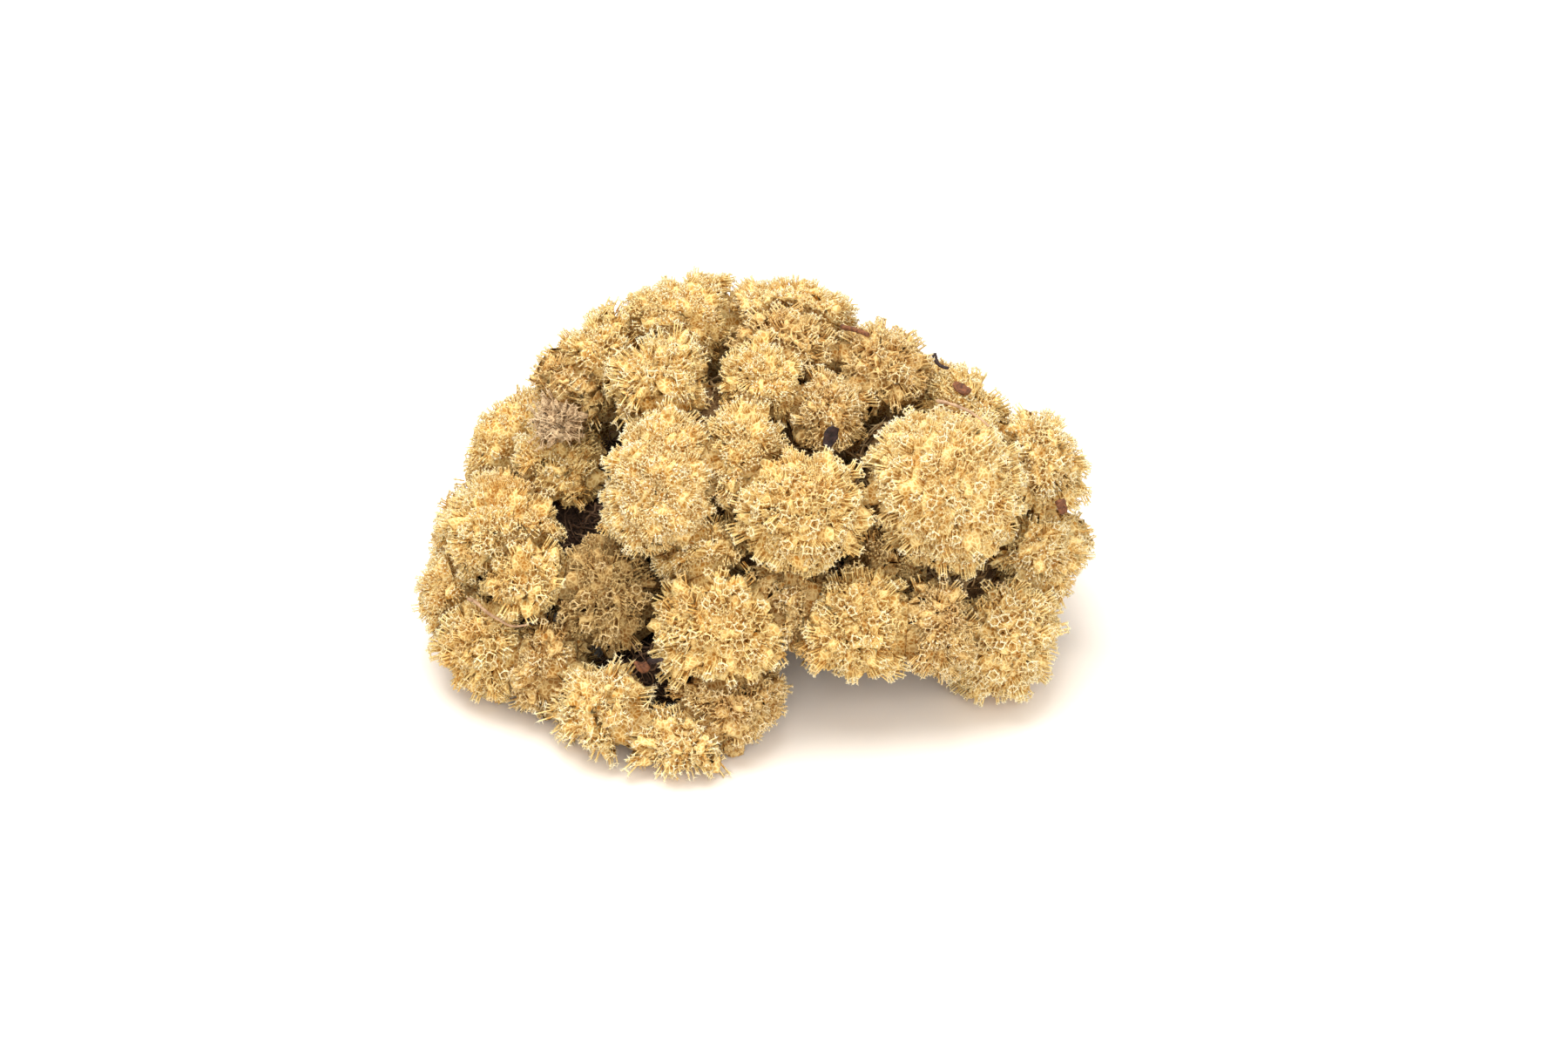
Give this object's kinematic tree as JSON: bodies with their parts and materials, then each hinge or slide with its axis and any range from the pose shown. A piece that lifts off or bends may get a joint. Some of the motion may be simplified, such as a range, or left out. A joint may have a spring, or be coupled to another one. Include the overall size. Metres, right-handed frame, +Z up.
{
  "type": "reindeer moss clump",
  "caption": "Low irregular clump of dried pale reindeer lichen: rounded branching heads packed on a mat of dark dead stalks, with twig and bark bits caught in it.",
  "frame": {"origin": "middle of the underside of the clump's box, on the surface that it rests on", "axes": "+Z up, +X along the longest side, to the right as seen from the front, -Y towards the front"},
  "size_m": [0.1738, 0.1282, 0.0877],
  "materials": {
    "pale_lichen": "dry, dull, pale cream to straw yellow branching tips, tan in the depth",
    "dead_stalks": "dry, dull, grey brown to nearly black old stalks",
    "dark_twig": "weathered dark purple brown twig and bark",
    "rust_bark": "thin rust brown bark scales",
    "pale_stalk": "bare pinkish beige dead stalks"
  },
  "bodies": {
    "root": {"back_head_1": "pale_lichen", "back_head_10": "pale_lichen", "back_head_11": "pale_lichen", "back_head_2": "pale_lichen", "back_head_3": "pale_lichen", "back_head_4": "pale_lichen", "back_head_5": "pale_lichen", "back_head_6": "pale_lichen", "back_head_7": "pale_lichen", "back_head_8": "pale_lichen", "back_head_9": "pale_lichen", "bark_strip": "rust_bark", "brow_flake": "rust_bark", "brow_head_1": "pale_lichen", "brow_head_2": "pale_lichen", "brow_head_3": "pale_lichen", "brow_head_4": "pale_lichen", "brow_head_5": "pale_lichen", "brow_head_6": "pale_lichen", "cavity_flake": "dark_twig", "crown_head_1": "pale_lichen", "crown_head_2": "pale_lichen", "crown_head_3": "pale_lichen", "crown_head_4": "pale_lichen", "dead_tuft": "dead_stalks", "foot_flake": "rust_bark", "foot_head_1": "pale_lichen", "foot_head_2": "pale_lichen", "foot_head_3": "pale_lichen", "foot_twig": "dark_twig", "left_head_1": "pale_lichen", "left_head_2": "pale_lichen", "left_head_3": "pale_lichen", "left_head_4": "pale_lichen", "left_head_5": "pale_lichen", "left_head_6": "pale_lichen", "left_head_7": "pale_lichen", "low_head_1": "pale_lichen", "low_head_2": "pale_lichen", "low_head_3": "pale_lichen", "low_head_4": "pale_lichen", "middle_head_1": "pale_lichen", "middle_head_2": "pale_lichen", "middle_head_3": "pale_lichen", "middle_head_4": "pale_lichen", "middle_head_5": "pale_lichen", "middle_head_6": "pale_lichen", "ridge_twig": "dark_twig", "right_flake": "rust_bark", "right_head_1": "pale_lichen", "right_head_2": "pale_lichen", "right_head_3": "pale_lichen", "right_head_4": "pale_lichen", "side_stalk": "pale_stalk", "stalk_mat_foot": "dead_stalks", "stalk_mat_left": "dead_stalks", "stalk_mat_middle": "dead_stalks", "stalk_mat_right": "dead_stalks", "top_stalk": "pale_stalk"}
  },
  "joints": []
}
